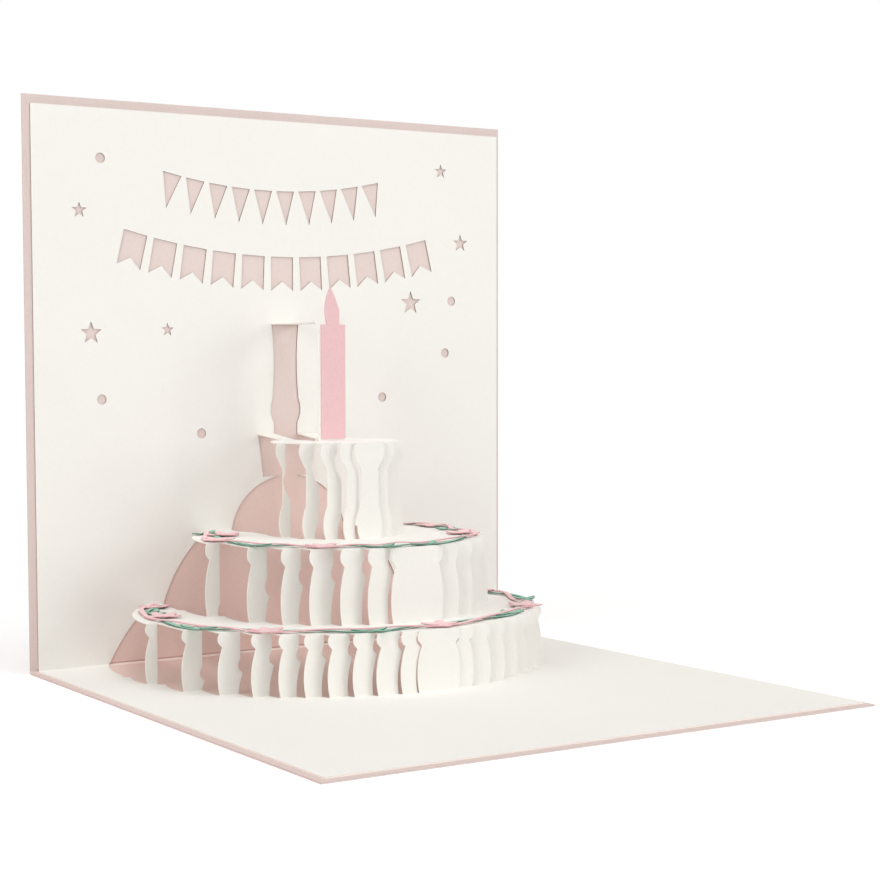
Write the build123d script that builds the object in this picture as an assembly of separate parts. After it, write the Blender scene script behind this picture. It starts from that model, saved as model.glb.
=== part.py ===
from build123d import *
import math
import os

# Pop up greeting card, opened to a right angle: a folded cover, and a cut and folded insert that
# stands up as a three tier cake with a candle. Paper garlands lie round two of the tiers.
# Millimetres, +Z up, +Y to the back. The origin is at the middle of the underside of the box.

# Cover: one folded card with two square panels
card_size = 150.0
cover_thickness = 0.4
fold_radius = 0.5

# Insert: one folded sheet glued into the cover
sheet_thickness = 0.3
insert_width = 147.1
insert_reach = 147.3
insert_shift = 0.7
kerf = 0.2

# Heights of the folds above the inner face of the cover's base panel
tier_top_1 = 15.5
tier_top_2 = 34.5
tier_top_3 = 59.5
candle_top = 91.4

# Outlines of the tiers seen from above: place across, distance of the middle, half axes
tier_1_oval = (-1.0, 33.2, 55.9, 47.6)
tier_2_oval = (1.1, 30.0, 39.4, 38.6)
tier_3_oval = (2.4, 27.1, 18.2, 16.8)

# Cuts between the strips on each half of a tier, from its side to its middle strip,
# as shares of the oval's half width
tier_1_cuts = (1.0, 0.95, 0.86, 0.76, 0.67, 0.58, 0.49, 0.39, 0.29, 0.18, 0.10)
tier_2_cuts = (1.0, 0.91, 0.78, 0.65, 0.49, 0.33, 0.18)
tier_3_cuts = (1.0, 0.87, 0.66, 0.42, 0.22)

# Outer edge of a strip from foot to top, as points of (share of the height, inward offset).
# Three points make an arc and two a straight run.
baluster = (
    ((0.00, -0.20), (0.40, -0.65), (0.76, 0.60)),
    ((0.76, 0.60), (0.83, -0.40)),
    ((0.83, -0.40), (0.89, -0.60), (0.95, -0.42)),
    ((0.95, -0.42), (1.00, 0.00)),
)
column = (
    ((0.00, 0.80), (0.17, 0.15), (0.34, 1.30)),
    ((0.34, 1.30), (0.72, 1.40)),
    ((0.72, 1.40), (0.84, -0.30)),
    ((0.84, -0.30), (0.92, -0.70), (1.00, 0.00)),
)

# Neck that joins the top of the third tier to the back panel, with its fold a little higher
neck_x = 2.0
neck_half_width = 7.7
neck_flare = 1.45
neck_rise = 1.3

# Candle strip: place across, distance from the back panel, and half widths along its cut edge,
# as arcs of (distance from the fold at the top of the back panel's opening, half width)
strip_x = 1.6
candle_depth = 25.0
strip_foot_half = 3.75
strip_edge = (
    ((0.0, 4.3), (13.0, 3.7), (21.0, 4.2)),
    ((21.0, 4.2), (24.4, 4.75), (27.5, strip_foot_half)),
)

# Paper candle with its flame, glued on the candle strip
trim_thickness = 0.25
candle_x = 2.4
candle_width = 7.5
candle_foot_gap = 0.5
candle_shoulder_gap = 0.8
flame_height = 10.0
flame_base = 3.9
flame_bulge = 0.5
flame_lean = 0.8

# Garlands: on each tier a pink vine with flowers crosses a green vine with leaves
vine_width = 1.3
vine_near_rim = 1.6
vine_far_from_rim = 6.0
vine_bend = 6.0
flower_inset = 3.6
flower_radius = 4.8
petal_width = 3.0
petal_count = 5
leaf_length = 5.4
leaf_width = 1.8
leaf_inset = 2.3
leaf_turns = (-38.0, 32.0, 172.0)
garland_ends = (140.0, 400.0)
lower_flowers = (146, 178, 224, 272, 321, 370)
lower_leaves = (162, 203, 250, 298, 347, 389)
upper_flowers = (146, 176, 233, 312, 372)
upper_leaves = (161, 205, 257, 341, 390)

# Cut outs in the back panel: place across and height above the inner face of the base panel
dot_diameter = 2.7
dots = ((-53.6, 134.3), (-54.0, 71.0), (-24.7, 61.4), (57.8, 98.4), (55.5, 83.2), (33.6, 70.5))
star_inner_share = 0.42
stars = (
    (-59.7, 120.5, 2.15),
    (-56.8, 88.5, 3.1),
    (-34.6, 89.5, 1.9),
    (54.1, 136.1, 2.1),
    (61.0, 115.4, 2.6),
    (43.5, 97.7, 3.45),
)

# Two hanging rows of pennants: middle, radius of the bow, pitch and pennant width
upper_row = (-1.5, 123.3, 157.0, 7.2, 5.6)
lower_row = (0.8, 105.2, 194.0, 9.2, 7.0)
upper_row_count = 10
lower_row_count = 11
pennant_height = 9.4
pennant_notch = 2.6

# Shortest edge that a cut is drawn with
shortest_run = 0.02


class EdgeShape:
    """Edge drawn as runs of (level, offset), which can be cut to any range of levels."""

    def __init__(self, runs, scale=1.0):
        self.runs = [[(level * scale, offset) for level, offset in run] for run in runs]
        self.top = self.runs[-1][-1][0]

    def offset(self, run, level):
        """Offset at a level on one run: a straight one, or the circle through three points."""
        if len(run) == 2:
            (u1, v1), (u2, v2) = run
            return v1 + (v2 - v1) * (level - u1) / (u2 - u1)
        (u1, v1), (u2, v2), (u3, v3) = run
        a, b, c, d = u2 - u1, v2 - v1, u3 - u1, v3 - v1
        twice_area = 2 * (a * d - b * c)
        u0 = u1 + (d * (a * a + b * b) - b * (c * c + d * d)) / twice_area
        v0 = v1 + (a * (c * c + d * d) - c * (a * a + b * b)) / twice_area
        reach = math.hypot(u1 - u0, v1 - v0)
        side = 1 if v2 > v0 else -1
        return v0 + side * math.sqrt(max(0.0, reach**2 - (level - u0) ** 2))

    def edges(self, low, high, place):
        """Edges between two levels, with a straight one above the top level, put in place."""
        found = []
        for run in self.runs:
            start = max(low, run[0][0])
            end = min(high, run[-1][0])
            if end - start > shortest_run:
                levels = (start, (start + end) / 2, end)
                points = [place(level, self.offset(run, level)) for level in levels]
                found.append(Line(points[0], points[2]) if len(run) == 2 else ThreePointArc(*points))
        if high > self.top:
            last = self.runs[-1][-1][1]
            start = max(low, self.top)
            found.append(Line(place(start, last), place(high, last)))
        return found


class Tier:
    """One round tier: its oval outline, its fold heights and the cuts between its strips.

    Plans are drawn in X and Y, with Y minus the distance from the back panel. Upright sheets
    are drawn in X and height.
    """

    def __init__(self, oval, low, high, shares, edge):
        self.x, self.middle, self.half_width, self.half_depth = oval
        self.low = low
        self.high = high
        self.height = high - low
        self.per_side = len(shares)
        self.edge = EdgeShape(edge, self.height)
        left = [self.x - self.half_width * share for share in shares]
        right = [self.x + self.half_width * share for share in reversed(shares)]
        self.cuts = left + right
        half = [self.rim(x) for x in left]
        self.depths = half + half[-2::-1]

    def rim(self, x):
        """Distance of the front of the oval from the back panel."""
        share = min(1.0, abs(x - self.x) / self.half_width)
        return self.middle + self.half_depth * math.sqrt(1 - share**2)

    def cut_x(self, number, offset, gap):
        """Place across of one cut, bowed inwards by the offset and moved by its half gap."""
        bow = offset if number < self.per_side else -offset
        return self.cuts[number] + bow + gap

    def strip(self, number):
        """One upright strip of the wall, from the underside of its floor to the tier's top."""
        depth = self.depths[number]
        edges = []
        feet = []
        heads = []
        for cut, beside, gap in ((number, number - 1, kerf / 2), (number + 1, number + 1, -kerf / 2)):
            step = 0.0
            if 0 <= beside < len(self.depths):
                step = max(0.0, self.depths[beside] - depth)
            side = self.edge.edges(
                step,
                self.height + step,
                lambda level, offset: (self.cut_x(cut, offset, gap), self.low + level - step),
            )
            foot = side[0] @ 0
            under = Vector(foot.X, self.low - sheet_thickness)
            edges += side + [Line(under, foot)]
            feet.append(under)
            heads.append(side[-1] @ 1)
        edges += [Line(*feet), Line(*heads)]
        return upright(make_face(edges), depth)

    def oval_part(self, middle, low, high):
        """The oval behind its widest line and straight sides in front of it, between two levels."""
        wide = 4 * self.half_width
        shape = Pos(self.x, middle) * Ellipse(self.half_width, self.half_depth)
        if low < middle:
            behind = Pos(self.x, middle + self.half_depth) * Rectangle(wide, 2 * self.half_depth)
            sides = Pos(self.x, (low + middle) / 2) * Rectangle(2 * self.half_width, middle - low)
            shape = (shape & behind) + sides
        band = Pos(self.x, (low + high) / 2) * Rectangle(wide, high - low)
        return shape & band

    def stepped_front(self, back, bowed):
        """Front part of the plate, or with bowed sides of the hole that the wall leaves."""
        last = len(self.depths)
        inset = sheet_thickness if bowed else 0.0
        edges = []
        before = []
        after = []
        for cut in range(last + 1):
            beside = [self.depths[i] for i in (cut - 1, cut) if 0 <= i < last]
            far = max(beside)
            near = min(beside) if len(beside) == 2 else back + inset
            on_left = cut < self.per_side
            gap = -kerf / 2 if on_left else kerf / 2
            run = []
            if bowed:
                run = self.edge.edges(
                    inset,
                    far - near + inset,
                    lambda level, offset: (self.cut_x(cut, offset, gap), level - far),
                )
            elif far - near > shortest_run:
                run = [Line((self.cuts[cut], -far), (self.cuts[cut], -near))]
            if run:
                deep, shallow = run[0] @ 0, run[-1] @ 1
            else:
                deep = shallow = Vector(self.cuts[cut], inset - far)
            before.append(shallow if on_left else deep)
            after.append(deep if on_left else shallow)
            edges += run
        for column_number in range(last):
            start, end = after[column_number], before[column_number + 1]
            if (end - start).length > shortest_run:
                edges.append(Line(start, end))
        edges.append(Line(before[0], after[-1]))
        return make_face(edges)

    def plate(self):
        """Plan of the sheet on top of the tier."""
        behind = self.oval_part(-self.middle, -self.middle, 0.0)
        return behind + self.stepped_front(self.middle, False)

    def floor_hole(self):
        """Plan of the hole that the wall leaves in the sheet that it stands on."""
        top = self.height - self.middle
        hole = self.stepped_front(-top, True)
        if top < 0:
            hole = hole + self.oval_part(top, top, 0.0)
        return hole

    def panel_hole(self):
        """Outline of the hole that the tier leaves in the back panel."""
        low = self.low - sheet_thickness
        return self.oval_part(self.high - self.middle, low, self.high - sheet_thickness)


def upright(face, depth):
    """Sheet that stands upright with its front at a distance from the back panel."""
    return extrude(Plane.XZ.offset(depth - sheet_thickness) * face, sheet_thickness)


def flat(face, height):
    """Sheet that lies flat with its top at a height."""
    return extrude(Pos(0, 0, height - sheet_thickness) * face, sheet_thickness)


def sloped_sheet(plan, length, low, high):
    """Sheet over a plan whose top falls from the back panel to a lower height at its front end."""
    corners = [(0, high), (-length, low), (-length, low - sheet_thickness), (0, high - sheet_thickness)]
    slope = extrude(Plane.YZ * make_face(Polyline(*corners, close=True)), card_size, both=True)
    block = extrude(Pos(0, 0, low - sheet_thickness) * plan, high - low + sheet_thickness)
    return slope & block


def through_panel(face):
    """Cutter through the back panel for an outline drawn in X and height."""
    return extrude(Plane.XZ.offset(-sheet_thickness) * face, 3 * sheet_thickness)


def through_base(face):
    """Cutter through the base panel for a plan."""
    return extrude(Pos(0, 0, -sheet_thickness) * face, 3 * sheet_thickness)


def below(face, top):
    """Part of a face that lies below a level."""
    size = 4 * card_size
    return face & (Pos(0, top - size / 2) * Rectangle(size, size))


def folded_card(reach, height, thickness, inner_radius, width):
    """Card folded to a right angle, its outer corner on the origin of Y and Z."""
    inner = -thickness
    corners = [(0, 0), (0, height), (inner, height), (inner, thickness), (-reach, thickness), (-reach, 0)]
    face = Plane.YZ * make_face(Polyline(*corners, close=True))
    card = extrude(face, width / 2, both=True)
    along = card.edges().filter_by(Axis.X)
    outer = along.sort_by_distance((0, 0, 0))[0]
    card = fillet(outer, inner_radius + thickness)
    bend = card.edges().filter_by(Axis.X).sort_by_distance((0, inner, thickness))[0]
    return fillet(bend, inner_radius)


def star(radius):
    """Five pointed star with one point up."""
    points = []
    for i in range(10):
        reach = radius if i % 2 == 0 else radius * star_inner_share
        angle = math.radians(90 + 36 * i)
        points.append((reach * math.cos(angle), reach * math.sin(angle)))
    return make_face(Polyline(*points, close=True))


def pennant(width, notch):
    """Hanging pennant centred on its own height, with a notched tail if a notch is given."""
    top = pennant_height / 2
    if notch:
        tail = [(width / 2, -top), (0, notch - top), (-width / 2, -top)]
    else:
        tail = [(0, -top)]
    return make_face(Polyline((-width / 2, top), (width / 2, top), *tail, close=True))


def pennant_row(row, count, notch):
    """Pennants evenly spaced on a hanging bow, each square to it."""
    x, z, radius, pitch, width = row
    shapes = []
    for i in range(count):
        turn = (i - (count - 1) / 2) * pitch / radius
        place = Pos(x + radius * math.sin(turn), z + radius * (1 - math.cos(turn)))
        shapes.append(place * Rot(0, 0, math.degrees(turn)) * pennant(width, notch))
    return shapes


def strip_outline(low, high, place):
    """Outline between two distances along the candle strip's cut, mirrored about its middle."""
    shape = EdgeShape(strip_edge)
    right = shape.edges(low, high, lambda level, half: place(level, half))
    left = shape.edges(low, high, lambda level, half: place(level, -half))
    caps = [Line(left[0] @ 0, right[0] @ 0), Line(left[-1] @ 1, right[-1] @ 1)]
    return make_face(right + left + caps)


def petal(length, width):
    """Pointed petal or leaf from the origin along X, widest before its middle."""
    side = 0.4 * length
    return make_face(Polyline((0, 0), (side, width / 2), (length, 0), (side, -width / 2), close=True))


def flower():
    """Flower with pointed petals all round."""
    turns = [360 / petal_count * i for i in range(petal_count)]
    return [Rot(0, 0, turn) * petal(flower_radius, petal_width) for turn in turns]


def sprig():
    """Three leaves that spring from one place on a vine."""
    return [Rot(0, 0, turn) * petal(leaf_length, leaf_width) for turn in leaf_turns]


def rim_point(tier, angle, inset):
    """Point inside the rim of a tier, by the angle round its oval."""
    turn = math.radians(angle)
    x = tier.x + (tier.half_width - inset) * math.cos(turn)
    y = -tier.middle + (tier.half_depth - inset) * math.sin(turn)
    return Vector(x, y)


def bent_line(points, bent, radius):
    """Straight runs through points, with an arc in place of each corner that is bent."""
    edges = []
    last = points[0]
    for before, corner, after in zip(points, points[1:], points[2:]):
        if corner not in bent:
            edges.append(Line(last, corner))
            last = corner
            continue
        into = corner - before
        out = after - corner
        reach = radius * math.tan(math.radians(into.get_angle(out)) / 2)
        reach = min(reach, 0.45 * into.length, 0.45 * out.length)
        start = corner - into.normalized() * reach
        end = corner + out.normalized() * reach
        edges += [Line(last, start), TangentArc(start, end, tangent=into)]
        last = end
    return edges + [Line(last, points[-1])]


def vine(tier, near_angles, far_angles):
    """Thin strip that bends beside the rim and runs straight across the tier's top in between."""
    waves = [(angle, vine_near_rim) for angle in near_angles]
    waves += [(angle, vine_far_from_rim) for angle in far_angles]
    waves += [(angle, (vine_near_rim + vine_far_from_rim) / 2) for angle in garland_ends]
    edges = []
    ends = []
    for half in (-vine_width / 2, vine_width / 2):
        points = [rim_point(tier, angle, inset + half) for angle, inset in sorted(waves)]
        bent = [rim_point(tier, angle, vine_near_rim + half) for angle in near_angles]
        edges += bent_line(points, bent, vine_bend - half)
        ends.append((points[0], points[-1]))
    edges += [Line(*pair) for pair in zip(*ends)]
    return make_face(edges)


def make_cover():
    """Folded cover, its inner corner on the origin of Y and Z."""
    back = Pos(0, cover_thickness, -cover_thickness)
    return back * folded_card(card_size, card_size, cover_thickness, fold_radius, card_size)


def make_insert(tiers):
    """Folded sheet with its cut and folded cake, candle strip and cut outs."""
    lowest, middle, highest = tiers
    bend = fold_radius - sheet_thickness
    sheet = folded_card(insert_reach, insert_reach, sheet_thickness, bend, insert_width)
    sheet = Pos(insert_shift, 0, 0) * sheet

    foot = highest.high - sheet_thickness
    rise = candle_top - highest.high
    neck_length = 2 * highest.middle - highest.rim(highest.x + neck_half_width)
    neck = make_face(
        Polyline(
            (neck_x - neck_half_width - neck_flare, 0),
            (neck_x + neck_half_width + neck_flare, 0),
            (neck_x + neck_half_width, -neck_length),
            (neck_x - neck_half_width, -neck_length),
            close=True,
        )
    )
    opening = strip_outline(
        0, candle_top - foot, lambda level, half: (strip_x + half, candle_top - level)
    )
    plate_opening = strip_outline(
        rise, rise + candle_depth - sheet_thickness, lambda level, half: (strip_x + half, rise - level)
    )

    neck_fold = highest.high + neck_rise
    holes = [through_base(lowest.floor_hole())]
    holes += [through_panel(tier.panel_hole()) for tier in tiers]
    holes.append(through_panel(below(Pos(0, neck_fold) * neck, neck_fold - sheet_thickness)))
    holes.append(through_panel(below(opening, candle_top - sheet_thickness)))
    shapes = [Pos(x, z) * Circle(dot_diameter / 2) for x, z in dots]
    shapes += [Pos(x, z) * star(radius) for x, z, radius in stars]
    shapes += pennant_row(upper_row, upper_row_count, 0.0)
    shapes += pennant_row(lower_row, lower_row_count, pennant_notch)
    holes += [through_panel(shape) for shape in shapes]
    sheet = sheet - holes

    pieces = [flat(lowest.plate() - middle.floor_hole(), lowest.high)]
    pieces.append(flat(middle.plate() - highest.floor_hole(), middle.high))
    pieces.append(flat(below(highest.plate() - plate_opening, -neck_length), highest.high))
    pieces.append(sloped_sheet(neck - plate_opening, neck_length, highest.high, neck_fold))
    for tier in tiers:
        pieces += [tier.strip(number) for number in range(len(tier.depths))]

    bridge = strip_outline(0, candle_depth, lambda level, half: (strip_x + half, -level))
    over = candle_top + candle_depth
    front = strip_outline(candle_depth, over - foot, lambda level, half: (strip_x + half, over - level))
    pieces.append(flat(bridge, candle_top))
    pieces.append(upright(front, candle_depth))
    return sheet + pieces


def make_candle(highest):
    """Paper candle with a flame, on the front of the candle strip."""
    foot = highest.high + candle_foot_gap
    shoulder = candle_top - candle_shoulder_gap
    body = Pos(candle_x, (foot + shoulder) / 2) * Rectangle(candle_width, shoulder - foot)
    tip = (-flame_lean, flame_height)
    half = flame_base / 2
    left = ThreePointArc((-half, 0), (-half - flame_bulge, 0.55 * flame_height), tip)
    bend = (half, 0.38 * flame_height)
    right = ThreePointArc(bend, (0.4 * half, 0.68 * flame_height), tip)
    side = Line((half, 0), bend)
    flame = Pos(candle_x, shoulder) * make_face([left, right, side, Line((-half, 0), (half, 0))])
    return extrude(Plane.XZ.offset(candle_depth) * (body + flame), trim_thickness)


def make_garlands(tier, flower_angles, leaf_angles):
    """Pink vine with flowers, lying on a green vine with leaves."""
    blossoms = []
    for angle in flower_angles:
        spot = rim_point(tier, angle, flower_inset)
        blossoms += [Pos(spot.X, spot.Y) * Rot(0, 0, angle) * shape for shape in flower()]
    leaves = []
    for angle in leaf_angles:
        spot = rim_point(tier, angle, leaf_inset)
        leaves += [Pos(spot.X, spot.Y) * Rot(0, 0, angle + 90) * leaf for leaf in sprig()]
    pink = vine(tier, flower_angles, leaf_angles) + blossoms
    green = vine(tier, leaf_angles, flower_angles) + leaves
    lower = extrude(Pos(0, 0, tier.high) * green, trim_thickness)
    upper = extrude(Pos(0, 0, tier.high + trim_thickness) * pink, trim_thickness)
    return upper, lower


def main():
    """Build every node and write one file for each."""
    heights = (sheet_thickness, tier_top_1, tier_top_2, tier_top_3)
    tiers = (
        Tier(tier_1_oval, heights[0], heights[1], tier_1_cuts, baluster),
        Tier(tier_2_oval, heights[1], heights[2], tier_2_cuts, baluster),
        Tier(tier_3_oval, heights[2], heights[3], tier_3_cuts, column),
    )
    nodes = {
        "cover": make_cover(),
        "insert": make_insert(tiers),
        "candle": make_candle(tiers[2]),
    }
    pink, green = make_garlands(tiers[0], lower_flowers, lower_leaves)
    nodes["lower_flower_garland"] = pink
    nodes["lower_leaf_garland"] = green
    pink, green = make_garlands(tiers[1], upper_flowers, upper_leaves)
    nodes["upper_flower_garland"] = pink
    nodes["upper_leaf_garland"] = green

    os.makedirs("parts", exist_ok=True)
    to_row_frame = Pos(0, card_size / 2 - cover_thickness, cover_thickness)
    for name, shape in nodes.items():
        export_step(to_row_frame * shape, os.path.join("parts", name + ".step"))


main()
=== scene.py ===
"""Looks of an opened pop up card: its papers, its garlands, the studio and the camera.

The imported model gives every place, in metres. The cover, the insert and the candle keep their
own meshes and get paper finishes. The garlands are modelled here with smooth petals and leaves
that lift a little off the paper, and each one stands for its node.
"""

import logging
import math
from collections.abc import Callable
from dataclasses import dataclass, field
from enum import Enum

import bmesh
import bpy
from mathutils import Matrix, Vector


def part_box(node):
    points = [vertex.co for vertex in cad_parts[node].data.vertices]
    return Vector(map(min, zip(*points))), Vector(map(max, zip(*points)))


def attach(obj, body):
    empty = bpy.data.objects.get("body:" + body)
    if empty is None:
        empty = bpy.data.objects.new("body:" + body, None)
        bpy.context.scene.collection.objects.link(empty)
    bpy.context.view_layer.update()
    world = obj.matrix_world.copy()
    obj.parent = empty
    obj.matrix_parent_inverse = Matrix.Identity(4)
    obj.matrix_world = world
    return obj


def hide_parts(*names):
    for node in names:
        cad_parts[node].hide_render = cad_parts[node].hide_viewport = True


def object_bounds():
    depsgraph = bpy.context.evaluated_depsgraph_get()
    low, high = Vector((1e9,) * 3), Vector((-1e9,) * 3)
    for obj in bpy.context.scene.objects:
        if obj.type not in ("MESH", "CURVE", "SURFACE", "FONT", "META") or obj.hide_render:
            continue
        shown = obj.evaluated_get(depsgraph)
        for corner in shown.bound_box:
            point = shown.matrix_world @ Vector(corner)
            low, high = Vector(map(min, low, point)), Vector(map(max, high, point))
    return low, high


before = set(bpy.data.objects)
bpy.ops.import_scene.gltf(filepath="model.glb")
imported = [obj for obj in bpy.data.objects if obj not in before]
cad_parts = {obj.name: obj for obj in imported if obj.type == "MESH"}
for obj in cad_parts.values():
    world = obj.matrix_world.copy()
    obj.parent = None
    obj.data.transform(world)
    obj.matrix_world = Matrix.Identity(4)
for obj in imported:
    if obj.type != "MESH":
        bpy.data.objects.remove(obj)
CAD_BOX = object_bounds()

MM = 0.001
LOG = logging.getLogger("pop_up_card")

Colour = tuple[float, float, float]
Socket = bpy.types.NodeSocket


def linear(colour: Colour) -> tuple[float, float, float, float]:
    """Turn a colour as seen on a screen into the linear colour that a shader takes.

    Args:
        colour: Red, green and blue, each from 0 to 255.

    Returns:
        Linear red, green, blue and an alpha of one.
    """
    parts = [channel / 255 for channel in colour]
    curved = [part / 12.92 if part <= 0.04045 else ((part + 0.055) / 1.055) ** 2.4 for part in parts]
    return (curved[0], curved[1], curved[2], 1.0)


def deselect_all() -> None:
    """Leave edit mode and select nothing."""
    if bpy.context.object and bpy.context.object.mode != "OBJECT":
        bpy.ops.object.mode_set(mode="OBJECT")
    bpy.ops.object.select_all(action="DESELECT")


def reshape(piece: bpy.types.Object, move: Callable[[Vector], Vector]) -> None:
    """Move every vertex of a piece in edit mode.

    Args:
        piece: Piece to shape.
        move: Gives a vertex's new place from its old one.
    """
    bpy.ops.object.mode_set(mode="EDIT")
    mesh = bmesh.from_edit_mesh(piece.data)
    for vertex in mesh.verts:
        vertex.co = move(vertex.co)
    bmesh.update_edit_mesh(piece.data)
    bpy.ops.object.mode_set(mode="OBJECT")


def join(pieces: list[bpy.types.Object]) -> bpy.types.Object:
    """Join pieces into one.

    Args:
        pieces: Pieces to join, the first of which takes in the others.

    Returns:
        The joined piece.
    """
    deselect_all()
    for piece in pieces:
        piece.select_set(True)
    bpy.context.view_layer.objects.active = pieces[0]
    bpy.ops.object.join()
    return bpy.context.object


@dataclass(frozen=True)
class Noise:
    """Settings of a noise on object coordinates.

    Attributes:
        scale: Patches to a metre.
        detail: Octaves of finer noise.
        warp: Distortion, which draws the patches out into fibres.
    """

    scale: float
    detail: float
    warp: float


class NodeTools:
    """Adds nodes to one shader tree and gives the sockets that carry their results."""

    def __init__(self, tree: bpy.types.NodeTree) -> None:
        """Keep the tree that the nodes are added to."""
        self.tree = tree

    def new(self, kind: str) -> bpy.types.Node:
        """Add a node of one kind."""
        return self.tree.nodes.new(kind)

    def link(self, start: Socket, end: Socket) -> None:
        """Join an output to an input."""
        self.tree.links.new(start, end)

    def axis(self, vector: Socket, axis: str) -> Socket:
        """Take one axis of a vector.

        Args:
            vector: Socket of the vector.
            axis: X, Y or Z.

        Returns:
            The socket with that axis alone.
        """
        split = self.new("ShaderNodeSeparateXYZ")
        self.link(vector, split.inputs["Vector"])
        return split.outputs[axis]

    def place(self, axis: str) -> Socket:
        """Place along one axis in metres, from object coordinates."""
        return self.axis(self.new("ShaderNodeTexCoord").outputs["Object"], axis)

    def facing(self, axis: str) -> Socket:
        """How far the surface faces along one axis, either way, from zero to one."""
        normal = self.new("ShaderNodeNewGeometry").outputs["True Normal"]
        return self.maths("ABSOLUTE", self.axis(normal, axis))

    def maths(self, operation: str, first: Socket, second: Socket | float = 0.0) -> Socket:
        """Work out a value from one or two others.

        Args:
            operation: Name of the Math node's operation.
            first: Socket of the first value.
            second: Second value, as a socket or a number.

        Returns:
            The result's socket.
        """
        node = self.new("ShaderNodeMath")
        node.operation = operation
        self.link(first, node.inputs[0])
        if isinstance(second, float):
            node.inputs[1].default_value = second
        else:
            self.link(second, node.inputs[1])
        return node.outputs["Value"]

    def span(self, source: Socket, start: float, end: float, low: float, high: float) -> Socket:
        """Map a value smoothly from one span to another.

        Args:
            source: Socket of the value.
            start: Value at which the result is low.
            end: Value at which the result is high.
            low: First result.
            high: Second result, which may be the smaller one.

        Returns:
            The result's socket.
        """
        node = self.new("ShaderNodeMapRange")
        node.interpolation_type = "SMOOTHSTEP"
        node.inputs["From Min"].default_value = start
        node.inputs["From Max"].default_value = end
        node.inputs["To Min"].default_value = low
        node.inputs["To Max"].default_value = high
        self.link(source, node.inputs["Value"])
        return node.outputs["Result"]

    def rising(self, source: Socket, start: float, end: float) -> Socket:
        """Mask that goes from zero at the start to one at the end."""
        return self.span(source, start, end, 0.0, 1.0)

    def falling(self, source: Socket, start: float, end: float) -> Socket:
        """Mask that goes from one at the start to zero at the end."""
        return self.span(source, start, end, 1.0, 0.0)

    def tint(self, where: Socket, under: Socket | Colour, over: Colour) -> Socket:
        """Lay a colour over another where a mask says.

        Args:
            where: Mask, one where the colour over it shows.
            under: Colour that shows elsewhere, as a socket or from 0 to 255.
            over: Colour from 0 to 255.

        Returns:
            The mixed colour's socket.
        """
        node = self.new("ShaderNodeMix")
        node.data_type = "RGBA"
        if isinstance(under, tuple):
            node.inputs["A"].default_value = linear(under)
        else:
            self.link(under, node.inputs["A"])
        node.inputs["B"].default_value = linear(over)
        self.link(where, node.inputs["Factor"])
        return node.outputs["Result"]

    def noise(self, settings: Noise) -> Socket:
        """Add a noise on object coordinates.

        Args:
            settings: Scale, detail and distortion of the noise.

        Returns:
            The socket with the noise value.
        """
        node = self.new("ShaderNodeTexNoise")
        node.inputs["Scale"].default_value = settings.scale
        node.inputs["Detail"].default_value = settings.detail
        node.inputs["Distortion"].default_value = settings.warp
        self.link(self.new("ShaderNodeTexCoord").outputs["Object"], node.inputs["Vector"])
        return node.outputs["Fac"]

    def seen_directly(self) -> Socket:
        """Tell what is seen directly from what only lights the scene.

        Returns:
            The socket of a mask that is one for rays from the camera, mirrors and clear materials.
        """
        path = self.new("ShaderNodeLightPath")
        seen = self.maths("MAXIMUM", path.outputs["Is Camera Ray"], path.outputs["Is Glossy Ray"])
        return self.maths("MAXIMUM", seen, path.outputs["Is Transmission Ray"])

    def mix_shaders(self, where: Socket, under: Socket, over: Socket) -> Socket:
        """Show one shader over another where a mask is one.

        Args:
            where: Mask, one where the shader over it shows.
            under: Shader that shows elsewhere.
            over: Shader that lies over it.

        Returns:
            The mixed shader's socket.
        """
        node = self.new("ShaderNodeMixShader")
        self.link(where, node.inputs["Fac"])
        self.link(under, node.inputs[1])
        self.link(over, node.inputs[2])
        return node.outputs["Shader"]


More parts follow.
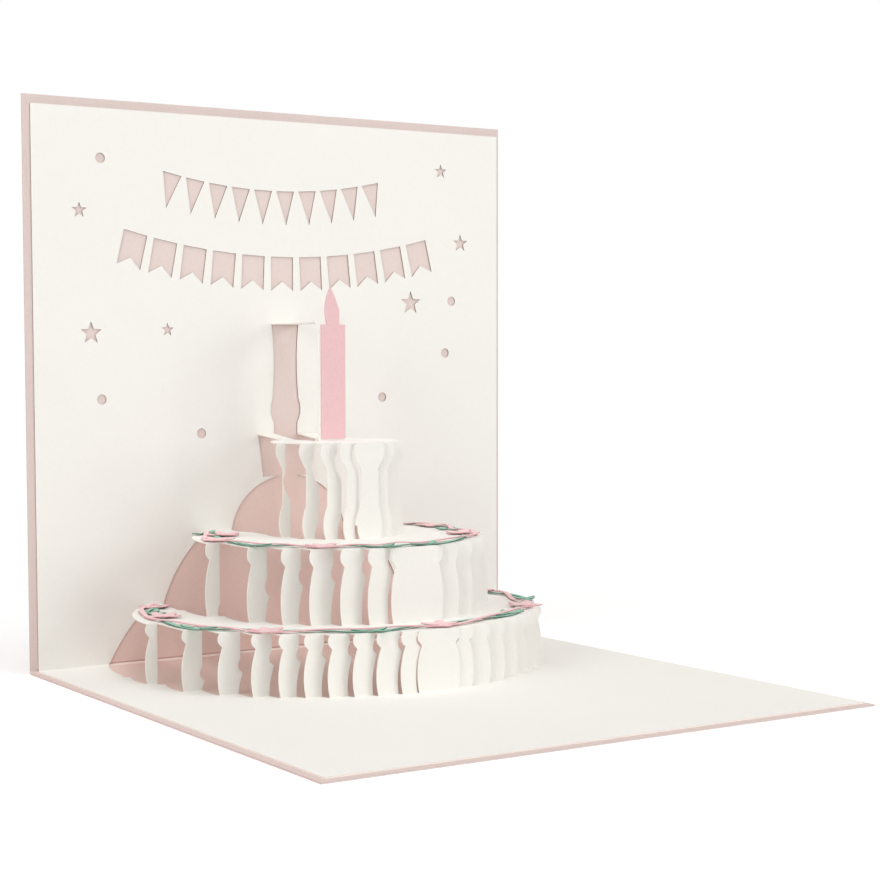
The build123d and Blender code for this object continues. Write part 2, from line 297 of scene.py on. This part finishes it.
@dataclass(frozen=True)
class PaperFinish:
    """Matte card stock with soft patches and fibres.

    Attributes:
        label: Name of the material.
        colour: Colour of the paper's face, 0 to 255.
        cut_colour: Colour of the cut edges, 0 to 255.
        patch_depth: How much darker the soft patches are, as a share.
        fibre_depth: How much darker single fibres are, as a share.
        fibre_bump: Strength of the relief that the fibres give.
        roughness: Roughness of the face.
        face_axis: Axis that the sheet's faces look along.
        edge_turn: How far a surface faces along it where the cut edge turns into the face.
        side_turn: How far a surface faces along X where a face turns into a cut edge.
        patches: Noise of the soft patches.
        patch_span: Values of that noise between which a patch fades.
        fibres: Noise of the fibres.
        fibre_span: Values of that noise between which a fibre fades.
        fibre_height: Height of the fibres' relief, in millimetres.
        gloss: Specular level of the face.
    """

    label: str
    colour: Colour
    cut_colour: Colour
    patch_depth: float = 0.02
    fibre_depth: float = 0.05
    fibre_bump: float = 0.3
    roughness: float = 0.87
    face_axis: str = "Z"
    edge_turn: tuple[float, float] = (0.4, 0.7)
    side_turn: tuple[float, float] = (0.2, 0.4)
    patches: Noise = Noise(26.0, 3.0, 0.4)
    patch_span: tuple[float, float] = (0.3, 0.7)
    fibres: Noise = Noise(1500.0, 5.0, 1.6)
    fibre_span: tuple[float, float] = (0.35, 0.6)
    fibre_height: float = 0.05
    gloss: float = 0.25

    def base_colour(self, nodes: NodeTools) -> Socket:
        """Colour of the sheet's faces, with its cut edges wherever it looks another way."""
        edge = nodes.falling(nodes.facing(self.face_axis), *self.edge_turn)
        return nodes.tint(edge, self.colour, self.cut_colour)

    def material(self) -> bpy.types.Material:
        """Build the paper's material.

        Returns:
            A material whose colour and relief come from nodes on object coordinates.
        """
        made = bpy.data.materials.new(self.label)
        made.use_nodes = True
        nodes = NodeTools(made.node_tree)
        shader = made.node_tree.nodes["Principled BSDF"]
        shader.inputs["Roughness"].default_value = self.roughness
        shader.inputs["Specular IOR Level"].default_value = self.gloss

        patches = nodes.span(nodes.noise(self.patches), *self.patch_span, 1.0 - self.patch_depth, 1.0)
        fibres = nodes.noise(self.fibres)
        grain = nodes.span(fibres, *self.fibre_span, 1.0 - self.fibre_depth, 1.0)
        toned = nodes.new("ShaderNodeVectorMath")
        toned.operation = "SCALE"
        nodes.link(self.base_colour(nodes), toned.inputs["Vector"])
        nodes.link(nodes.maths("MULTIPLY", patches, grain), toned.inputs["Scale"])
        nodes.link(toned.outputs["Vector"], shader.inputs["Base Color"])

        relief = nodes.new("ShaderNodeBump")
        relief.inputs["Strength"].default_value = self.fibre_bump
        relief.inputs["Distance"].default_value = self.fibre_height * MM
        nodes.link(fibres, relief.inputs["Height"])
        nodes.link(relief.outputs["Normal"], shader.inputs["Normal"])
        return made


@dataclass(frozen=True)
class CoverFinish(PaperFinish):
    """Card of the cover: painted lighter where the insert covers it, as painted light in the cake's shade,
    with a painted highlight and a painted shade line along the fold.

    Attributes:
        upper_colour: Colour behind the cut outs of the back panel, over the cake.
        upper_heights: Heights between which the colour turns to it, in millimetres.
        open_colour: Colour of the margin and the outside, the card's own; the covered card is painted
            lighter than it, as painted light in the cake's shade.
        open_soft: Width over which the margin's colour starts, in millimetres.
        outer_depth: Depths behind the insert at which the outside starts, in millimetres.
        painted_crease_highlight: Colour of the painted highlight along the inside of the fold.
        crease_heights: Heights over the insert's underside at which they end, in millimetres.
        shade_colour: Colour of the painted shade in a fine line along the fold, above them.
        shade_heights: Heights over the insert's underside at which it ends, in millimetres.
        fold_depth: Distances before the insert's back face at which both start, in millimetres.
    """

    upper_colour: Colour = (234, 217, 212)
    upper_heights: tuple[float, float] = (42.0, 70.0)
    open_colour: Colour = (225, 207, 202)
    open_soft: float = 0.6
    outer_depth: tuple[float, float] = (0.1, 0.3)
    painted_crease_highlight: Colour = (255, 238, 231)
    crease_heights: tuple[float, float] = (0.4, 0.55)
    shade_colour: Colour = (206, 172, 163)
    shade_heights: tuple[float, float] = (0.75, 0.95)
    fold_depth: tuple[float, float] = (0.7, 0.4)

    def margin(self, nodes: NodeTools) -> Socket:
        """Mask of what the insert doesn't cover, from the insert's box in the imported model.

        Args:
            nodes: Tools of the material's tree.

        Returns:
            The mask's socket.
        """
        low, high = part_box("insert")
        soft = self.open_soft * MM
        near, far = (depth * MM for depth in self.outer_depth)
        mask = nodes.falling(nodes.place("X"), low.x - soft, low.x)
        others = (
            nodes.rising(nodes.place("X"), high.x, high.x + soft),
            nodes.falling(nodes.place("Y"), low.y - soft, low.y),
            nodes.rising(nodes.place("Z"), high.z, high.z + soft),
            nodes.rising(nodes.place("Y"), high.y + near, high.y + far),
            nodes.falling(nodes.place("Z"), low.z - far, low.z - near),
        )
        for other in others:
            mask = nodes.maths("MAXIMUM", mask, other)
        return mask

    def fold_line(self, nodes: NodeTools, heights: tuple[float, float]) -> Socket:
        """Mask of a line on the back panel, just over the fold.

        Args:
            nodes: Tools of the material's tree.
            heights: Heights over the insert's underside between which the line fades.

        Returns:
            The mask's socket.
        """
        low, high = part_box("insert")
        start, end = (high.y - depth * MM for depth in self.fold_depth)
        on_panel = nodes.rising(nodes.place("Y"), start, end)
        bottom, top = (low.z + height * MM for height in heights)
        return nodes.maths("MULTIPLY", on_panel, nodes.falling(nodes.place("Z"), bottom, top))

    def base_colour(self, nodes: NodeTools) -> Socket:
        """Colour of the middle, painted lighter than the margin as painted light, the painted shade and
        highlight along the fold, the margin and the cut edges.

        Args:
            nodes: Tools of the material's tree.

        Returns:
            The colour's socket.
        """
        start, end = (height * MM for height in self.upper_heights)
        # The covered card's colours are painted lighter than the margin's, as painted light in the cake's
        # shade
        shown = nodes.tint(nodes.rising(nodes.place("Z"), start, end), self.colour, self.upper_colour)
        # Painted shade in a fine line along the fold
        shown = nodes.tint(self.fold_line(nodes, self.shade_heights), shown, self.shade_colour)
        # Painted highlight just over the insert's underside, inside the fold
        shown = nodes.tint(self.fold_line(nodes, self.crease_heights), shown, self.painted_crease_highlight)
        shown = nodes.tint(self.margin(nodes), shown, self.open_colour)
        return nodes.tint(nodes.rising(nodes.facing("X"), *self.side_turn), shown, self.cut_colour)


@dataclass(frozen=True)
class InsertFinish(PaperFinish):
    """White card of the insert, with painted shade on the cut edges round what is cut out of the back panel.

    Attributes:
        hole_edge_shade: Colour of the painted shade on the cut edges in the back panel, 0 to 255.
        hole_turn: How far a surface faces along Y where such an edge turns into the face.
        panel_depth: Distances before the insert's back face at which the panel starts.
    """

    hole_edge_shade: Colour = (142, 120, 110)
    hole_turn: tuple[float, float] = (0.5, 0.7)
    panel_depth: tuple[float, float] = (0.4, 0.33)

    def base_colour(self, nodes: NodeTools) -> Socket:
        """Colour of the face, of the strips' edges and of the painted shade on the back panel's edges.

        Args:
            nodes: Tools of the material's tree.

        Returns:
            The colour's socket.
        """
        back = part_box("insert")[1].y
        edge = nodes.rising(nodes.facing("X"), *self.side_turn)
        shown = nodes.tint(edge, self.colour, self.cut_colour)
        # Painted shade on the cut edges of the back panel's holes, which face away from the light
        start, end = (back - depth * MM for depth in self.panel_depth)
        in_panel = nodes.rising(nodes.place("Y"), start, end)
        across = nodes.falling(nodes.facing("Y"), *self.hole_turn)
        return nodes.tint(nodes.maths("MULTIPLY", in_panel, across), shown, self.hole_edge_shade)


class Paper(Enum):
    """The card stocks that the object is made of."""

    # The cover's face colour is painted lighter than its margin colour, as painted light in the cake's shade
    COVER = CoverFinish("dusty_pink_card", (242, 216, 209), (218, 192, 186), fibre_depth=0.04, roughness=0.9)
    INSERT = InsertFinish(
        "white_card", (247, 245, 240), (240, 236, 228), patch_depth=0.012, fibre_depth=0.02
    )
    CANDLE = PaperFinish("candle_pink_paper", (240, 199, 202), (226, 174, 180), face_axis="Y")
    # The flower and leaf papers' darker cut edges are partly the cut paper's own edge and partly painted
    # shade under the lifted pieces
    FLOWER = PaperFinish("flower_pink_paper", (247, 212, 214), (222, 170, 174))
    LEAF = PaperFinish(
        "sage_green_paper", (158, 200, 181), (92, 122, 106), patch_depth=0.04, fibre_depth=0.07
    )


class Papers:
    """Materials of the papers, each made once."""

    def __init__(self) -> None:
        """Make every paper's material."""
        self.made: dict[Paper, bpy.types.Material] = {paper: paper.value.material() for paper in Paper}

    def dress_node(self, node: str, paper: Paper) -> None:
        """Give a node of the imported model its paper.

        Args:
            node: Name of the node.
            paper: Paper that the node is cut from.
        """
        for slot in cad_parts[node].material_slots:
            slot.material = self.made[paper]
        LOG.info("%s is cut from %s", node, paper.value.label)

    def dress_piece(self, piece: bpy.types.Object, paper: Paper) -> None:
        """Give a new piece its paper as its only material."""
        piece.data.materials.clear()
        piece.data.materials.append(self.made[paper])


@dataclass
class TierTop:
    """Oval top of one tier, which a garland lies on.

    Attributes:
        x: Place across of the oval's middle, in millimetres.
        middle: Distance of its middle from the insert's back face.
        half_width: Half axis along the fold.
        half_depth: Half axis towards the front.
        back: Place of the insert's back face, in millimetres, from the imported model.
    """

    x: float
    middle: float
    half_width: float
    half_depth: float
    back: float = field(init=False)

    def __post_init__(self) -> None:
        """Read the back panel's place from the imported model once."""
        self.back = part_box("insert")[1].y / MM

    def point(self, angle: float, inset: float) -> Vector:
        """Point inside the rim, by the angle round the oval.

        Args:
            angle: Angle round the oval in degrees, 270 at the front.
            inset: Distance inside the rim, in millimetres.

        Returns:
            The point in the frame, in metres, with a height of zero.
        """
        turn = math.radians(angle)
        x = self.x + (self.half_width - inset) * math.cos(turn)
        y = self.back - self.middle + (self.half_depth - inset) * math.sin(turn)
        return Vector((x * MM, y * MM, 0.0))


@dataclass
class Garland:
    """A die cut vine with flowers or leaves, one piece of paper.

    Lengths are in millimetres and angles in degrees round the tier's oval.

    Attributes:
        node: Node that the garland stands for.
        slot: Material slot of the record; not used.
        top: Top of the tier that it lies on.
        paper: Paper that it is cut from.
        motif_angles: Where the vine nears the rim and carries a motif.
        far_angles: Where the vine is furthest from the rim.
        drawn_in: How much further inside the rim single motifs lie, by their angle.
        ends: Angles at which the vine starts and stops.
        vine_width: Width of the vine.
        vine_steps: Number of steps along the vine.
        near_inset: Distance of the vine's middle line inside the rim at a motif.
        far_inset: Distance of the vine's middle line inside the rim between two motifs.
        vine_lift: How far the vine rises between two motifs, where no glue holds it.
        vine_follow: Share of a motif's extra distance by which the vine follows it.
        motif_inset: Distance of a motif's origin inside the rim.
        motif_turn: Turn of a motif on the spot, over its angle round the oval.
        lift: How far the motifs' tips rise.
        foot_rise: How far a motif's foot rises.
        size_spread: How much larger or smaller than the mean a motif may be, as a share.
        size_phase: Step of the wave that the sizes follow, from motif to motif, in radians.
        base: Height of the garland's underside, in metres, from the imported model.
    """

    node: str
    slot: str
    top: TierTop
    paper: Paper
    motif_angles: tuple[int, ...]
    far_angles: tuple[int, ...]
    drawn_in: dict[int, float]
    ends: tuple[float, float] = (140.0, 400.0)
    vine_width: float = 1.3
    vine_steps: int = 180
    near_inset: float = 1.6
    far_inset: float = 6.0
    vine_lift: float = 0.4
    vine_follow: float = 0.5
    motif_inset: float = 0.0
    motif_turn: float = 0.0
    lift: float = 0.5
    foot_rise: float = 0.02
    size_spread: float = 0.06
    size_phase: float = 2.4
    base: float = field(init=False)

    def __post_init__(self) -> None:
        """Read the height of the garland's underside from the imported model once."""
        self.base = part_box(self.node)[0].z

    def extra_inset(self, angle: int) -> float:
        """How much further inside the rim the motif at an angle lies."""
        return self.drawn_in.get(angle, 0.0)

    def rise(self, angle: float) -> float:
        """Height of the vine over its paper.

        Args:
            angle: Angle round the oval.

        Returns:
            The height, zero where the vine is glued.
        """
        knots = sorted(self.ends + self.motif_angles + self.far_angles)
        for start, end in zip(knots, knots[1:]):
            if angle <= end:
                return self.vine_lift * math.sin(math.pi * (angle - start) / (end - start)) ** 2
        return 0.0

    def inset(self, angle: float) -> float:
        """Distance of the vine's middle line inside the rim.

        Args:
            angle: Angle round the oval.

        Returns:
            The distance, on a wave between the motifs and the places furthest from the rim.
        """
        middle = (self.near_inset + self.far_inset) / 2
        followed = {knot: self.vine_follow * self.extra_inset(knot) for knot in self.motif_angles}
        knots = [(knot, self.near_inset + extra) for knot, extra in followed.items()]
        knots += [(knot, self.far_inset) for knot in self.far_angles]
        knots = sorted(knots + [(knot, middle) for knot in self.ends])
        for (start, low), (end, high) in zip(knots, knots[1:]):
            if angle <= end:
                share = (angle - start) / (end - start)
                return low + (high - low) * (1 - math.cos(math.pi * share)) / 2
        return knots[-1][1]

    def vine_point(self, flat: Vector) -> Vector:
        """Place of a point of the vine.

        Args:
            flat: The point on a square from -1 to 1, X along the vine and Y across it.

        Returns:
            The point in the frame, in metres.
        """
        start, end = self.ends
        angle = start + (flat.x + 1) / 2 * (end - start)
        side = flat.y * self.vine_width / 2
        spot = self.top.point(angle, self.inset(angle) + side)
        return Vector((spot.x, spot.y, self.base + self.rise(angle) * MM))

    def vine(self) -> bpy.types.Object:
        """Model the vine: a long flat grid, bent along its wave in edit mode.

        Returns:
            The vine's sheet, with no thickness yet.
        """
        deselect_all()
        bpy.ops.mesh.primitive_grid_add(x_subdivisions=self.vine_steps, y_subdivisions=2, size=2.0)
        piece = bpy.context.object
        reshape(piece, self.vine_point)
        return piece

    def motif(self, size: float) -> bpy.types.Object:
        """Model one motif at the origin, as a sheet with no thickness.

        Args:
            size: Scale of this motif, about one.

        Returns:
            The motif's sheet.
        """
        raise NotImplementedError

    def lay(self, motif: bpy.types.Object, angle: int) -> None:
        """Turn a motif's mesh and move it to its place on the vine.

        Args:
            motif: Motif at the origin.
            angle: Angle round the oval.
        """
        spot = self.top.point(angle, self.motif_inset + self.extra_inset(angle))
        turn = Matrix.Rotation(math.radians(angle + self.motif_turn), 4, "Z")
        motif.data.transform(Matrix.Translation((spot.x, spot.y, self.base)) @ turn)
        motif.data.update()

    def build(self, papers: Papers) -> bpy.types.Object:
        """Build the garland, give it its thickness and its paper, and let it stand for its node.

        Args:
            papers: Materials of the papers.

        Returns:
            The finished garland.
        """
        sheets = [self.vine()]
        for count, angle in enumerate(self.motif_angles):
            wave = math.sin(self.size_phase * count + self.top.x)
            motif = self.motif(1.0 + self.size_spread * wave)
            self.lay(motif, angle)
            sheets.append(motif)
        piece = join(sheets)
        piece.name = self.node + "_paper"
        bpy.ops.object.transform_apply(location=True, rotation=True, scale=True)
        low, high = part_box(self.node)
        solid = piece.modifiers.new("thickness", "SOLIDIFY")
        solid.thickness = high.z - low.z
        solid.offset = 1.0
        bpy.ops.object.modifier_apply(modifier=solid.name)
        papers.dress_piece(piece, self.paper)
        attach(piece, "root")
        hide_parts(self.node)
        LOG.info("%s has %d motifs", piece.name, len(self.motif_angles))
        return piece


@dataclass
class FlowerGarland(Garland):
    """Pink vine whose flowers have pointed petals all round, one of them pointing outwards.

    Attributes:
        petals: Number of petals of a flower.
        petal_length: Length of a petal.
        petal_half_width: Half width of a petal.
        petal_steps: Number of points on a petal's outline.
        curl_mean: Mean of the petals' curl, as a share of the lift.
        curl_swing: How much a petal's curl may differ from that mean, as a share of the lift.
        petal_phase: Step of the wave that the curls follow, from petal to petal, in radians.
        flower_phase: Step of that wave from flower to flower, by a flower's size.
    """

    motif_inset: float = 4.2
    petals: int = 5
    petal_length: float = 4.8
    petal_half_width: float = 1.45
    petal_steps: int = 12
    curl_mean: float = 0.55
    curl_swing: float = 0.45
    petal_phase: float = 2.3
    flower_phase: float = 9.0

    def reach(self, turn: float) -> float:
        """Distance of the flower's outline from its middle.

        Args:
            turn: Turn away from the nearest petal's tip, in radians.

        Returns:
            The reach of a petal whose sides are arcs from the middle to the tip.
        """
        half = self.petal_length / 2
        sink = (half * half - self.petal_half_width**2) / (2 * self.petal_half_width)
        return self.petal_length * math.cos(turn) - 2 * sink * math.sin(abs(turn))

    def petal_point(self, disc: Vector, size: float) -> Vector:
        """Place of a point of the flower.

        Args:
            disc: The point on a disc with a radius of one.
            size: Scale of the flower.

        Returns:
            The point on the curled petal, in metres from the flower's middle.
        """
        share = disc.length
        # The middle point stays on the paper
        if share < 1e-6:
            return disc
        sector = 2 * math.pi / self.petals
        turn = math.atan2(disc.y, disc.x)
        away = (turn + sector / 2) % sector - sector / 2
        petal = round((turn - away) / sector)
        reach = self.reach(away) * share * size
        wave = math.cos(self.petal_phase * petal + self.flower_phase * size)
        curl = self.lift * (self.curl_mean + self.curl_swing * wave)
        rise = curl * (reach / self.petal_length) ** 2 + self.foot_rise
        return Vector((math.cos(turn) * reach, math.sin(turn) * reach, rise)) * MM

    def motif(self, size: float) -> bpy.types.Object:
        """Model one flower from a disc, its rim drawn out into petals in edit mode.

        Args:
            size: Scale of the flower.

        Returns:
            The flower's sheet with its middle at the origin.
        """
        around = self.petals * self.petal_steps
        deselect_all()
        bpy.ops.mesh.primitive_circle_add(vertices=around, radius=1.0, fill_type="TRIFAN")
        piece = bpy.context.object
        bpy.ops.object.mode_set(mode="EDIT")
        bpy.ops.mesh.select_all(action="SELECT")
        bpy.ops.mesh.subdivide(number_cuts=2)
        reshape(piece, lambda disc: self.petal_point(disc, size))
        return piece


@dataclass
class LeafGarland(Garland):
    """Green vine that carries sprigs of pointed leaves.

    Attributes:
        leaf_length: Length of a leaf.
        leaf_half_width: Half width of a leaf.
        leaf_turns: Turns of a sprig's leaves away from the vine.
        leaf_ends: Where the outline's half wave starts, and how much of it the leaf takes up.
        leaf_taper: Power that rounds a leaf's outline where it is less than one.
        leaf_fold: How far a leaf's edges rise over its rib.
        leaf_lift: How far a leaf's tip rises, as a share of the lift.
    """

    motif_inset: float = 2.3
    motif_turn: float = 90.0
    leaf_length: float = 5.4
    leaf_half_width: float = 0.95
    leaf_turns: tuple[float, ...] = (-38.0, 32.0, 172.0)
    leaf_ends: tuple[float, float] = (0.03, 0.96)
    leaf_taper: float = 0.8
    leaf_fold: float = 0.12
    leaf_lift: float = 0.8

    def leaf_point(self, flat: Vector, size: float) -> Vector:
        """Place of a point of a leaf.

        Args:
            flat: The point on a square from -1 to 1, X from stalk to tip.
            size: Scale of the leaf.

        Returns:
            The point on the curled leaf, in metres from its stalk.
        """
        along = (flat.x + 1) / 2
        first, reach = self.leaf_ends
        half = self.leaf_half_width * math.sin(math.pi * (first + reach * along)) ** self.leaf_taper
        rise = self.foot_rise + self.lift * along**2 * self.leaf_lift + self.leaf_fold * abs(flat.y)
        return Vector((along * self.leaf_length * size, flat.y * half * size, rise)) * MM

    def leaf(self, size: float, turn: float) -> bpy.types.Object:
        """Model one leaf from a grid: two arcs from stalk to tip, folded a little along its rib.

        Args:
            size: Scale of the leaf.
            turn: Turn of the leaf about its stalk.

        Returns:
            The leaf's sheet with its stalk at the origin.
        """
        deselect_all()
        bpy.ops.mesh.primitive_grid_add(x_subdivisions=12, y_subdivisions=4, size=2.0)
        piece = bpy.context.object
        reshape(piece, lambda flat: self.leaf_point(flat, size))
        piece.data.transform(Matrix.Rotation(math.radians(turn), 4, "Z"))
        return piece

    def motif(self, size: float) -> bpy.types.Object:
        """Model one sprig of leaves that spring from the same place."""
        return join([self.leaf(size, turn) for turn in self.leaf_turns])


@dataclass
class TierTrim:
    """The two garlands on one tier.

    Attributes:
        level: First word of the garlands' nodes.
        top: Top of the tier.
        flowers: Angles of the flowers round the oval, 270 at the front.
        leaves: Angles of the sprigs of leaves.
        drawn_in: How much further inside the rim single flowers and sprigs lie, by their angle.
    """

    level: str
    top: TierTop
    flowers: tuple[int, ...]
    leaves: tuple[int, ...]
    drawn_in: dict[int, float]

    def build(self, papers: Papers) -> None:
        """Build the tier's flower garland and its leaf garland.

        Args:
            papers: Materials of the papers.
        """
        FlowerGarland(
            node=self.level + "_flower_garland",
            slot="flower_paper",
            top=self.top,
            paper=Paper.FLOWER,
            motif_angles=self.flowers,
            # The pink vine stays beside the rim between its first two flowers
            far_angles=self.leaves[1:],
            drawn_in=self.drawn_in,
        ).build(papers)
        LeafGarland(
            node=self.level + "_leaf_garland",
            slot="leaf_paper",
            top=self.top,
            paper=Paper.LEAF,
            motif_angles=self.leaves,
            far_angles=self.flowers,
            drawn_in=self.drawn_in,
        ).build(papers)


@dataclass
class Card:
    """The card's folded cover, its cut and folded insert and its candle.

    Attributes:
        papers: Materials of the papers.
        sheets: Nodes that keep their own meshes, and the paper that each is cut from.
    """

    papers: Papers
    sheets: tuple[tuple[str, Paper], ...] = (
        ("cover", Paper.COVER),
        ("insert", Paper.INSERT),
        ("candle", Paper.CANDLE),
    )

    def build(self) -> None:
        """Dress the nodes that keep their own meshes."""
        for node, paper in self.sheets:
            self.papers.dress_node(node, paper)


@dataclass
class Cake:
    """The garlands on the cake's two lower tiers.

    Attributes:
        papers: Materials of the papers.
    """

    papers: Papers

    def lowest_tier(self) -> TierTrim:
        """Garlands of the lowest tier."""
        return TierTrim(
            level="lower",
            top=TierTop(x=-1.0, middle=33.2, half_width=55.9, half_depth=47.6),
            flowers=(143, 169, 223, 273, 325, 370),
            leaves=(157, 200, 252, 304, 340, 389),
            drawn_in={157: 3.6, 169: 3.0, 304: 2.2},
        )

    def middle_tier(self) -> TierTrim:
        """Garlands of the middle tier."""
        return TierTrim(
            level="upper",
            top=TierTop(x=1.1, middle=30.0, half_width=39.4, half_depth=38.6),
            flowers=(152, 176, 233, 329, 372),
            leaves=(143, 203, 256, 277, 349, 390),
            drawn_in={143: 1.4, 152: 4.2, 329: 2.4, 349: 5.0},
        )

    def build(self) -> None:
        """Build the four garlands."""
        for trim in (self.lowest_tier(), self.middle_tier()):
            trim.build(self.papers)


@dataclass
class Lamp:
    """A soft square area lamp.

    Attributes:
        label: Name of the lamp.
        place: Place in metres from the object's middle.
        size: Side of the square in metres.
        power: Power in watts.
    """

    label: str
    place: tuple[float, float, float]
    size: float
    power: float

    def build(self, aim: Vector) -> None:
        """Add the lamp and aim it.

        Args:
            aim: Point in the frame that it shines at, in metres.
        """
        light = bpy.data.lights.new(self.label, "AREA")
        light.size = self.size
        light.energy = self.power
        lamp = bpy.data.objects.new(self.label, light)
        bpy.context.scene.collection.objects.link(lamp)
        lamp.location = aim + Vector(self.place)
        lamp.rotation_euler = (-Vector(self.place)).to_track_quat("-Z", "Y").to_euler()


@dataclass
class Studio:
    """Plain white floor, white surroundings and soft light.

    Attributes:
        ambient: Strength of the light from all round.
        ambient_colour: Linear colour of that light, a little warm, each part from 0 to 1.
        floor_size: Side of the floor in metres.
        floor_tone: Brightness of the floor's surface, as a share.
        floor_glow: Light that the floor adds for the camera, over what it reflects.
        shadow_reach: Distances from the object's middle between which the floor fades to white.
        lamps: The lamps, placed round the object.
    """

    ambient: float = 0.35
    ambient_colour: Colour = (1.0, 0.985, 0.955)
    floor_size: float = 8.0
    floor_tone: float = 0.8
    floor_glow: float = 0.30
    shadow_reach: tuple[float, float] = (0.11, 0.24)
    lamps: tuple[Lamp, ...] = (
        Lamp("window", place=(0.9, -1.0, 0.35), size=0.7, power=5.4),
        Lamp("ceiling", place=(0.1, -0.4, 1.2), size=1.0, power=7.6),
        Lamp("reflector", place=(-1.1, -0.35, 0.35), size=0.7, power=6.2),
        Lamp("behind", place=(0.0, 1.2, 0.12), size=0.3, power=7.0),
    )

    def world(self) -> None:
        """Light the scene from all round, and show white behind the object."""
        world = bpy.data.worlds.new("white_room")
        bpy.context.scene.world = world
        world.use_nodes = True
        nodes = NodeTools(world.node_tree)
        lit = world.node_tree.nodes["Background"]
        lit.inputs["Color"].default_value = (*self.ambient_colour, 1.0)
        lit.inputs["Strength"].default_value = self.ambient
        shown = nodes.new("ShaderNodeBackground")
        shown.inputs["Color"].default_value = (1.0, 1.0, 1.0, 1.0)
        shown.inputs["Strength"].default_value = 1.0
        seen = nodes.seen_directly()
        both = nodes.mix_shaders(seen, lit.outputs["Background"], shown.outputs["Background"])
        nodes.link(both, world.node_tree.nodes["World Output"].inputs["Surface"])

    def floor_shader(self, tree: bpy.types.NodeTree) -> None:
        """Make a floor that keeps the object's shadow and fades to plain white away from it.

        Args:
            tree: Node tree of the floor's material.
        """
        nodes = NodeTools(tree)
        shader = tree.nodes["Principled BSDF"]
        shader.inputs["Base Color"].default_value = (self.floor_tone, self.floor_tone, self.floor_tone, 1.0)
        shader.inputs["Roughness"].default_value = 1.0
        shader.inputs["Specular IOR Level"].default_value = 0.0
        seen = nodes.seen_directly()
        glow = nodes.new("ShaderNodeEmission")
        nodes.link(nodes.maths("MULTIPLY", seen, self.floor_glow), glow.inputs["Strength"])
        near = nodes.new("ShaderNodeAddShader")
        nodes.link(shader.outputs["BSDF"], near.inputs[0])
        nodes.link(glow.outputs["Emission"], near.inputs[1])

        away = nodes.new("ShaderNodeVectorMath")
        away.operation = "LENGTH"
        nodes.link(nodes.new("ShaderNodeTexCoord").outputs["Object"], away.inputs[0])
        fade = nodes.rising(away.outputs["Value"], *self.shadow_reach)
        white = nodes.new("ShaderNodeEmission")
        far = nodes.maths("MULTIPLY", fade, seen)
        both = nodes.mix_shaders(far, near.outputs["Shader"], white.outputs["Emission"])
        nodes.link(both, tree.nodes["Material Output"].inputs["Surface"])

    def floor(self) -> None:
        """Lay the white floor that the object stands on."""
        deselect_all()
        bpy.ops.mesh.primitive_plane_add(size=self.floor_size, location=(0, 0, 0))
        floor = bpy.context.object
        floor.name = "floor"
        made = bpy.data.materials.new("white_floor")
        made.use_nodes = True
        self.floor_shader(made.node_tree)
        floor.data.materials.append(made)

    def build(self) -> None:
        """Set up the room, the floor and the lamps."""
        bpy.context.scene.view_settings.view_transform = "Standard"
        self.world()
        self.floor()
        low, high = CAD_BOX
        for lamp in self.lamps:
            lamp.build((low + high) / 2)


@dataclass
class ViewPoint:
    """Camera at the photograph's place and angle.

    Attributes:
        place: Place of the camera, in millimetres.
        azimuth: Turn round the object in degrees.
        elevation: Height above the horizon in degrees.
        roll: Turn about the line of sight in degrees.
        lens: Focal length in millimetres.
        frame_width: Width of the frame behind the lens, in millimetres.
        shift: Shift of the frame across and up, as a share of its width.
        nearest: Distance from which things are seen, in metres.
    """

    place: tuple[float, float, float] = (-251.21, -375.66, 79.99)
    azimuth: float = -31.323
    elevation: float = 3.456
    roll: float = -0.283
    lens: float = 75.372
    frame_width: float = 36.0
    shift: tuple[float, float] = (0.1023, 0.042)
    nearest: float = 0.01

    def facing(self) -> Matrix:
        """Work out the camera's turn from its three angles.

        Returns:
            The turn, as a matrix of four rows.
        """
        turn, rise, tilt = (math.radians(angle) for angle in (self.azimuth, self.elevation, self.roll))
        back = Vector((math.sin(turn) * math.cos(rise), -math.cos(turn) * math.cos(rise), math.sin(rise)))
        right = Vector((math.cos(turn), math.sin(turn), 0.0))
        up = back.cross(right)
        across = right * math.cos(tilt) + up * math.sin(tilt)
        above = up * math.cos(tilt) - right * math.sin(tilt)
        return Matrix((across, above, back)).transposed().to_4x4()

    def build(self) -> None:
        """Add the camera and make it the scene's own."""
        data = bpy.data.cameras.new("camera")
        data.sensor_width = self.frame_width
        data.lens = self.lens
        data.shift_x, data.shift_y = self.shift
        data.clip_start = self.nearest
        camera = bpy.data.objects.new("camera", data)
        bpy.context.scene.collection.objects.link(camera)
        camera.matrix_world = Matrix.Translation(Vector(self.place) * MM) @ self.facing()
        bpy.context.scene.camera = camera


def main() -> None:
    """Build the card, the cake's garlands, the studio and the camera."""
    logging.basicConfig(level=logging.INFO, format="%(message)s")
    papers = Papers()
    Card(papers).build()
    Cake(papers).build()
    Studio().build()
    ViewPoint().build()


if __name__ == "__main__":
    main()
